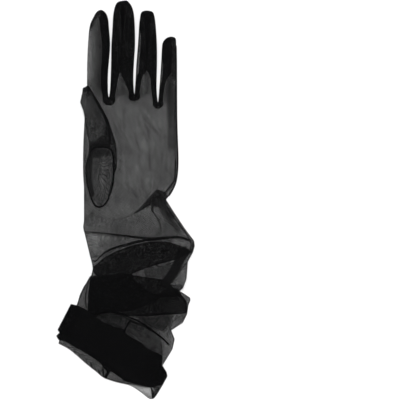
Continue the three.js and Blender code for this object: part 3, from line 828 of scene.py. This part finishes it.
thumbCreases = [
    ([(89.8, 88), (93, 93.2), (98, 103), (103.3, 112.2), (107.2, 122.1), (109.5, 132), (110, 143)], 1.5,
      0.86, 1.6),
    ([(90.4, 88), (96.7, 99), (104.4, 112.2), (109, 122), (112.4, 132.6), (115.6, 142.5)], 1.8, 0.66, 1.6),
    ([(116.6, 142.5), (117.4, 153), (117.2, 166), (115, 178)], 0.8, 0.5, 1.2),
    ([(113.4, 142), (115.6, 153), (115.8, 166), (114.4, 178)], 1.9, 0.3, 1.4),
    ([(84.2, 89), (82.6, 95), (81.4, 102), (82.4, 106)], 1.2, 0.86, 1.2),
    ([(80, 102), (82, 94), (84, 88), (87, 86.5), (86.9, 95), (86, 104), (85.2, 116), (83.4, 112)], None,
      0.8, 0.9),
    ([(81, 86), (90.5, 86), (92, 92), (81, 93)], None, 0.95, 2),
    ([(85, 94), (90, 94)], 1.6, 0.62, 4),
    ([(84.5, 117), (86.7, 131), (89.8, 144)], 0.9, 0.5, 1.2),
    ([(90, 147), (96, 144), (103, 141), (108, 141)], 4.2, 0.6, 5),
    ([(108, 128), (106.5, 136), (105, 144)], 3, 0.72, 6),
    ([(86.4, 170), (87.6, 160), (90, 151), (96, 146.8), (107, 146.8), (113, 152), (113.9, 166),
      (113.2, 181), (108.6, 197), (100, 207), (92.4, 200), (88, 188)], None, 0.55, 0.8),
    ([(88, 160), (89.4, 152), (94, 146.5), (107, 146.5), (112.6, 151), (113, 157), (100, 158)], None, 0.82,
      6),
    ([(90, 158), (89.4, 178), (92, 194)], 3.6, 0.84, 4),
    ([(96, 145.6), (109, 145.6)], 1.6, 0.92, 1.6),
    ([(90, 160), (91.4, 153), (95, 150)], 2.4, 0.86, 3),
    ([(104.5, 149.6), (108.5, 149.6), (111.4, 151.6), (112.8, 156), (113.1, 166), (112.7, 180),
      (108.4, 196)], 0.5, 0.9, 0.9),
    ([(102.5, 153), (99.6, 171), (98.3, 187)], 0.4, 0.82, 0.9),
    ([(100.8, 157), (98, 170), (95.4, 180)], 0.4, 0.74, 0.9),
    ([(108, 168), (106.4, 184), (103, 198)], 0.5, 0.66, 1.2),
    ([(104.8, 155), (103.2, 170), (102.6, 190)], 1, -0.12, 2),
    ([(101.6, 158), (99.8, 164), (97.2, 178)], 0.5, -0.22, 1),
]


def thumbLift(flat, heights, isFront, ringSize):
    # the first ring keeps to the seam, and the pouch rests on the palm
    palm, _ = handHeights(flat)
    heights = np.maximum(heights, palm + thumb["palmGap"])
    heights[:ringSize] = palm[:ringSize] + thumb["seamRise"]
    return heights


thumbPouch = tube("thumb_net", thumbRings, thumbCreases, thumb, thumbNet, thumbLift, True)
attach(thumbPouch, "root")
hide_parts("thumb")
print("thumb is made")


# Seams: a rolled edge of net under a row of stitches, which pinch it at every stitch
seams = {"radius": 0.00055, "stitch": 0.0016, "pinch": 0.22, "roundness": 2, "rise": 0.0004}


def seamRoll(name, line, radius, material, closed):
    # line holds places in metres
    deselectAll()
    bpy.ops.curve.primitive_nurbs_path_add(location=(0, 0, 0))
    roll = bpy.context.active_object
    roll.name = name
    roll.data.splines.clear()
    way = roll.data.splines.new("POLY")
    way.points.add(len(line) - 1)
    for point, place, length in zip(way.points, line, lengthsAlong(line)):
        point.co = (*place, 1)
        point.radius = 1 + seams["pinch"] * math.sin(2 * math.pi * length / seams["stitch"])
    way.use_cyclic_u = closed
    roll.data.dimensions = "3D"
    roll.data.bevel_depth = radius
    roll.data.bevel_resolution = seams["roundness"]
    roll.data.use_fill_caps = not closed
    bpy.ops.object.convert(target="MESH")
    bpy.ops.object.shade_smooth()
    roll.data.materials.clear()
    roll.data.materials.append(material)
    return roll


ovalLine = atGrid(evenLine(thumbHole, 241))[:-1]
ovalFront, _ = handHeights(ovalLine)
ovalWay = np.column_stack([ovalLine, ovalFront + seams["rise"]])
ovalRoll = seamRoll("thumb_seam_roll", ovalWay, seams["radius"], seamThread, True)
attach(ovalRoll, "root")
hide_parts("thumb_seam")
sideLine = atGrid(evenLine(outerSide[:-1], 420))
sideWay = np.column_stack([sideLine, np.full(len(sideLine), hand["middle"])])
sideRoll = seamRoll("side_seam_roll", sideWay, seams["radius"], seamThread, False)
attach(sideRoll, "root")
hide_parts("side_seam")
print("seams are made")


# Sleeve: one tube of net pushed together into pleats and deep folds
sleeve = {"columns": 124, "wave": 1.0, "edgeBunch": 0.7, "flat": (0.20, 0.23)}
blockTop = [
    (90, 278), (110, 277), (120, 275), (128.4, 273.4), (134, 275), (141, 276.2), (151.6, 277.8),
    (162, 279.2), (167, 281.2), (171, 285), (177, 290.6),
]
blockBottom = [
    (88, 314), (95, 316), (102, 313.5), (111, 312.4), (127, 315.6), (146, 316), (160, 314.8), (175, 313.8),
    (187, 312.8),
]
sleeveRings = [
    ring(11, 1, 14, wristLine[::-1], bunch=0.22),
    ring(10.6, 0.8, 14, [(83.2, 226.5), (105, 226), (125, 224), (143, 218), (158, 210.5), (173.4, 211.3)]),
    ring(11, 0.8, 8, [(83.6, 229), (105, 230.4), (125, 231.8), (145, 232), (165, 226), (184.6, 228.2)]),
    ring(11.6, 0.8, 4, [(84, 231.6), (95, 232.7), (104, 233.6), (112, 234.8), (124, 236.4), (132, 237.6),
         (140, 238.6), (150, 239.8), (162, 238.9), (172, 237.9), (181, 237.9), (188, 240.2),
         (193.8, 240.4)],
         [(84, 231.6), (110, 235), (140, 236), (170, 237), (193.8, 240.4)], fold=True, bunch=0.36),
    ring(12.2, 0.8, 16, [(84.2, 230.9), (95, 231.9), (104, 232.5), (112, 233.3), (124, 234.6), (132, 235.7),
         (140, 236.6), (148, 237.3), (156, 237.2), (164, 236.6), (172, 236), (181, 236.2), (187.6, 238.4),
         (194.2, 242.4)],
         [(84.2, 232.2), (110, 236), (140, 237), (170, 238), (194.2, 242.4)], fold=True, bunch=0.36),
    ring(13.2, 0.9, 4, [(90.4, 257), (95, 261.8), (100, 257.6), (104, 254), (108, 251.6), (112, 249.8),
         (116, 248.6), (120, 247.2), (124, 246.8), (128, 245.8), (132, 244.4), (136, 243.4), (140, 242.6),
         (148, 240.8), (160, 239.6), (172, 238.2), (181, 238.2), (188, 241), (194.6, 245)],
         [(90.4, 257), (110, 254), (140, 251), (170, 248), (194.6, 245)], fold=True, bunch=0.3),
    ring(13.8, 1, 12, [(90.8, 258), (95, 260.4), (100, 255.8), (104, 252.2), (108, 249.6), (112, 247.6),
         (116, 246.2), (120, 244.8), (124, 244), (128, 243), (132, 241.6), (136, 240.6), (140, 239.8),
         (148, 238.7), (160, 238.2), (172, 237.2), (181, 237.4), (188, 240.2), (194.6, 246)],
         [(90.8, 258), (110, 256), (140, 253), (170, 249), (194.6, 246)], fold=True, bunch=0.3),
    ring(15.6, 2, 14, [(92.4, 264), (94.6, 273.5), (103, 278), (114, 279), (127, 276), (140, 270.3),
         (155, 265.2), (170, 261), (180, 257.5), (193.2, 251)],
         [(92.4, 264), (110, 264), (140, 262), (170, 256), (193.2, 251)], fold=True),
    ring(13.2, 4, 14, [(93.2, 268), (95.8, 264.8), (100, 261), (104, 257.8), (108, 255.4), (112, 253.2),
         (116, 251.2), (120, 249.6), (124, 248.4), (128, 246.6), (132, 245.2), (136, 244.4), (144, 242.8),
         (150, 241.6), (158, 241.2), (167, 241.6), (174, 243.4), (181, 246), (186.6, 248.6),
         (192.6, 252.6)],
         [(93.2, 268), (110, 268), (140, 265), (170, 259), (192.6, 252.6)], fold=True),
    ring(14.6, 8, 8, [(92, 273), (110, 274), (130, 273), (150, 270), (170, 267), (187.8, 261.4)]),
    ring(16, 10.5, 8, [(90.4, 279), (110, 281), (128, 281), (145, 282), (163, 281), (175, 280),
         (186.4, 278.6)]),
    ring(16.6, 12, 3, [(89.6, 284), (110, 285), (128, 285), (145, 286), (163, 287), (175, 287.4),
         (183, 288)]),
    ring(16.9, 12.6, 3, [(89.4, 288), (110, 289), (128, 290), (145, 291), (163, 292), (172, 292),
         (178, 292)]),
    ring(17.1, 13, 4, [(89, 293), (110, 294), (130, 296), (150, 297), (168, 297), (183, 296)]),
    ring(17.4, 13.4, 8, [(88.5, 298), (110, 299), (130, 302), (150, 303), (168, 302), (187, 301.4)],
         [(88.5, 298), (110, 299), (130, 301), (148, 299), (162, 292), (174, 289.6), (187, 301.4)]),
    ring(13.6, 12.6, 12, blockBottom,
         [(88.2, 311), (110, 310.5), (130, 311), (144, 306), (156, 301), (164, 292), (172, 288), (180, 291),
         (186.8, 312)], fold=True, bunch=0.36),
    ring(9.4, 11.6, 10, [(88.4, 295), (110, 294), (130, 297), (150, 298), (168, 299), (186.4, 301.4)],
         [(88.4, 295), (110, 294), (130, 296), (148, 297), (164, 293), (174, 290.4), (186.4, 301.4)]),
    ring(8.2, 5.5, 10, blockTop,
         [(89.6, 276), (110, 275), (126, 273.4), (140, 285), (156, 297), (168, 294), (177, 290.6)],
         fold=True, bunch=0.36),
    ring(7.2, 1.2, 8, [(84, 286), (100, 290), (130, 294), (160, 296), (181.6, 292)]),
    ring(7.6, 0.8, 6, [(80, 294.5), (100, 300), (130, 303), (160, 302), (190, 297.6)]),
    ring(8, 0.8, 7, [(78.4, 300), (98, 307), (120, 310), (150, 309), (175, 306), (190.2, 300.6)]),
    ring(8.4, 0.7, 9, [(76.6, 305.5), (97, 312), (110, 314), (130, 317), (150, 316), (170, 312),
         (188.4, 304.8)]),
    ring(8.6, 0.7, 9, [(71, 317), (90, 321), (110, 323), (130, 325), (150, 325), (170, 321), (187, 314)]),
    ring(9, 0.7, 8, [(67, 325), (90, 331), (110, 334), (130, 334), (150, 332), (168, 328.5),
         (182.8, 322.6)]),
    ring(9, 0.7, 10, [(64, 330), (90, 338), (110, 342), (130, 342), (150, 338), (171.2, 330.2)]),
    ring(8.8, 0.7, 10, [(62, 334), (90, 345), (110, 350), (130, 351), (150, 346), (174.6, 339)]),
    ring(8.6, 0.7, 10, [(60.5, 337), (85, 349), (110, 358), (130, 360), (150, 356), (172.4, 349)]),
    ring(8.4, 0.7, 8, [(59.5, 339.5), (85, 354), (110, 366), (130, 370), (150, 367), (167, 358)]),
    ring(8.2, 0.7, 12, [(59, 341.5), (85, 358), (105, 370), (125, 377), (148, 377), (162, 366)]),
    ring(8, 0.6, 1, [(58.6, 343.4), (70, 349.6), (85, 362.4), (96, 371.2), (103, 377), (112, 380.6),
         (122, 383.2), (133, 384.6), (144, 387), (151.6, 388), (153.6, 391), (153.8, 394.4), (152, 398.4),
         (155.4, 396.4), (163.4, 383.6)],
         [(58.6, 343.4), (70, 349.6), (85, 362.4), (96, 371.2), (103, 377), (112, 380.6), (122, 383.2),
         (132, 386.5), (141, 392.5), (148, 398), (151.6, 399), (155.2, 396.6), (163.4, 383.6)],
         bunch=0.35),
]
sleeveCreases = [
    (wristPinch, None, 0.74, 1.2),
    ([(158.6, 197), (163.6, 202.4), (168.6, 209.2), (174, 217.4), (180, 225.6), (185.4, 232.4),
      (189, 238.4), (190.8, 243), (190.4, 250)], 0.6, 0.9, 0.8),
    ([(162, 203), (166, 209), (171, 217)], 3.4, 0.7, 4),
    ([(162, 208), (167, 216), (172, 223)], 3.2, 0.6, 7),
    ([(169, 217), (178, 230)], 3, 0.5, 5),
    ([(152.6, 203.6), (152, 209), (154.4, 214), (158.6, 220), (160.3, 226), (159.6, 231), (157, 234.6)],
      0.6, 0.66, 1),
    ([(152.4, 205), (152.2, 211)], 1.2, 0.74, 1.2),
    ([(84, 224), (86, 234), (90, 246)], 1.6, -0.26, 7),
    ([(108, 218), (200, 218), (200, 235), (108, 233)], None, 0.1, 12),
    ([(156, 215), (200, 215), (200, 236), (156, 236)], None, 0.17, 8),
    ([(181, 232), (188, 236)], 1, -0.16, 1.6),
    ([(140, 219), (156, 229)], 4, 0.16, 6),
    ([(177, 241.5), (186, 244.6)], 1.2, -0.24, 2.4),
    ([(148, 240), (160, 239.8), (171, 240)], 1.2, 0.36, 1.6),
    ([(192.8, 243), (192.8, 248), (190.3, 252.3)], 0.9, 0.8, 1),
    ([(91, 252), (100, 247.4), (112, 241.5)], 0.5, 0.24, 1.2),
    ([(96, 251.6), (108, 245.6)], 0.5, -0.1, 1.6),
    ([(83, 232), (86, 240), (90, 254), (104, 247), (114, 239), (106, 235)], None, -0.2, 7),
    ([(97, 263), (108, 258)], 2, -0.15, 4),
    ([(185, 252), (180, 259), (173.5, 272), (166, 282)], 4.8, 0.9, 1.8),
    ([(187, 262), (180, 271), (172, 280), (170, 284)], 0.8, 0.6, 1),
    ([(150, 272.5), (162, 271), (168, 268)], 6, 0.36, 3),
    ([(182, 272), (183, 281)], 2, -0.18, 3),
    ([(168, 282), (171, 284.2), (181, 284.2), (182, 289.6), (177, 291), (168, 291)], None, 0.43, 0.9),
    ([(181, 284.6), (182, 287.6), (180, 290.6)], 0.6, 0.7, 0.9),
    ([(169, 293), (182, 293), (186, 304), (185, 312), (166, 312)], None, -0.06, 6),
    ([(165.4, 291), (167, 297), (166.4, 303)], 0.5, 0.3, 1.2),
    ([(154.6, 292), (154.4, 301)], 0.7, 0.3, 1.4),
    ([(140, 315.6), (162, 316.8), (185, 315.2)], 0.5, -0.14, 1),
    ([(96, 312), (110, 311), (120, 313.2), (130.5, 317.6), (141, 322.4), (151.6, 330), (162, 337.4),
      (169, 344.4)], 0.6, 0.88, 0.9),
    ([(108, 322.5), (116, 325.5), (124, 331)], 1.5, 0.34, 3),
    ([(136, 316), (150, 315), (168, 313), (172, 317), (169, 326), (164, 331), (151, 329), (141, 322)], None,
      0.62, 6),
    ([(100, 315), (119, 319)], 3, 0.22, 4),
    ([(88.5, 281), (85.5, 297), (86.5, 308)], 0.6, 0.6, 1),
    ([(84, 285), (79.5, 297)], 1.6, 0.24, 2),
    ([(170.5, 330), (166, 322), (150, 316.5)], 0.4, 0.5, 1),
    ([(170.5, 330), (169, 322), (163, 316)], 0.4, 0.5, 1),
    ([(170.5, 330), (172, 322), (182, 315)], 0.4, 0.6, 1),
    ([(170.5, 330), (177, 325.4), (184, 317)], 0.4, 0.5, 1),
    ([(170.5, 330), (162, 327.6), (152, 328)], 0.4, 0.4, 1),
    ([(170, 330), (167.4, 334), (168.6, 340)], 0.4, 0.5, 1),
    ([(172.2, 330), (174, 338), (173.6, 346)], 0.5, 0.6, 0.9),
    ([(60, 343), (72, 347), (88, 357), (104, 371), (96, 371), (83, 361), (70, 351)], None, 0.26, 6),
    ([(156, 387), (157, 391), (154.4, 396)], 2.6, 0.5, 1.6),
    ([(163, 337), (172, 338), (172, 350), (165, 358)], None, -0.2, 4),
]


def sleeveLift(flat, heights, isFront, ringSize):
    # the first ring keeps to the hand's own edge
    front, back = handHeights(flat[:ringSize])
    heights = heights.copy()
    heights[:ringSize] = np.where(isFront[:ringSize], front, back)
    return heights


sleeveTube = tube("sleeve_net", sleeveRings, sleeveCreases, sleeve, sheerNet, sleeveLift)
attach(sleeveTube, "root")
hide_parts("sleeve")
print("sleeve is made,", len(sleeveTube.data.polygons), "faces")


# Cuff: the sleeve's end turned back on itself in layers
cuff = {"columns": 80, "wave": 0.8, "edgeBunch": 0.6, "flat": (0.23, 0.115)}
cuffTop = [
    (71, 303.8), (77, 305.4), (83, 307.8), (88, 310.6), (93, 313.8), (100, 320), (112, 326), (123, 329.4),
    (127, 335), (140, 342), (146, 347.5), (152, 351), (158, 353), (162.5, 357),
]
cuffUpper = [(64.2, 317), (75, 320), (90, 327), (110, 341), (130, 355), (150, 366), (162, 364.6)]
cuffLower = [(57.8, 329.4), (70, 332), (88, 341), (108, 354), (128, 369), (148, 379), (166.4, 371.5)]
cuffBottom = [
    (58.6, 339.6), (66, 341.4), (73, 345.6), (84, 351.8), (94, 358), (102, 364.4), (106, 370), (112, 371.6),
    (120, 377), (125, 380.6), (133, 383), (150, 387), (156, 386), (163, 384),
]
arcLine = [
    (74, 311), (97, 312.4), (110, 311), (120, 313.4), (130, 319), (143, 324), (153, 330), (161, 336.4),
]
cuffNotch = [(59.6, 332.4), (70, 336), (88, 343.6), (108, 356.4), (128, 371), (148, 380.6), (166.8, 373)]
cuffBulge = [
    (56.4, 335.6), (70, 338.6), (85, 346.4), (100, 356.4), (115, 369), (125, 377), (133, 380.6),
    (150, 384.4), (167.4, 376),
]
cuffRings = [
    ring(10.6, 0.9, 14, arcLine, cuffTop, bunch=0.8),
    ring(11.4, 0.9, 6, cuffTop),
    ring(11.6, 0.8, 6, cuffUpper),
    ring(11.8, 0.7, 3, cuffLower),
    ring(12, 0.7, 3, cuffNotch),
    ring(12.3, 0.6, 3, cuffBulge),
    ring(12.6, 0.6, 4, cuffBottom, fold=True),
    ring(13.2, 0.5, 3, cuffBulge),
    ring(13.8, 0.5, 3, cuffNotch),
    ring(14.2, 0.5, 4, cuffLower),
    ring(14.6, 0.5, 6, cuffUpper),
    ring(15.4, 0.5, 6, cuffTop, fold=True),
    ring(17, 0.4, 6, cuffUpper),
    ring(17.4, 0.4, 3, cuffLower),
    ring(17, 0.4, 3, cuffNotch),
    ring(16.4, 0.4, 1, cuffBulge, fold=True),
]
cuffCreases = [
    ([(62, 334), (80, 343), (110, 362), (140, 380)], 4, 0.4, 4),
    ([(72, 305.6), (84, 309.4)], 1, -0.16, 2.4),
    ([(152, 328), (166, 331), (170, 352), (157, 352)], None, -0.9, 8),
    ([(128, 322), (146, 326), (160, 336), (172, 346), (166, 352), (152, 350), (126, 334)], None, -0.16, 3),
]
cuffRoll = tube("cuff_net", cuffRings, cuffCreases, cuff, sheerNet)
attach(cuffRoll, "root")
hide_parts("cuff")
print("cuff is made")


# Tucks: creases pressed so sharp that the net lies in a tight roll there.
# Each has its points on the grid, its height and its radius
tucks = [
    ([(97, 311.6), (110, 310.8), (120, 313), (130.5, 317.4), (141, 322.2), (151.6, 329.6), (162, 337.4),
      (168.4, 344)], 0.0114, 0.0007),
    ([(130.5, 320), (126.3, 326.8), (124.5, 333.6)], 0.0118, 0.0007),
    ([(103, 364.6), (103.2, 371), (103.8, 377)], 0.0094, 0.0005),
    ([(106.6, 366), (107.6, 371.6), (104.4, 377.4)], 0.0094, 0.0007),
    ([(110, 368.6), (109, 372.4), (105.4, 378)], 0.0094, 0.0006),
]
for number, (tuckLine, tuckHeight, tuckRadius) in enumerate(tucks, 1):
    flatLine = atGrid(evenLine(tuckLine, 60))
    tuckWay = np.column_stack([flatLine, np.full(len(flatLine), tuckHeight)])
    tuck = seamRoll("sleeve_tuck_%d" % number, tuckWay, tuckRadius, rolledNet, False)
    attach(tuck, "root")
print("tucks are made")
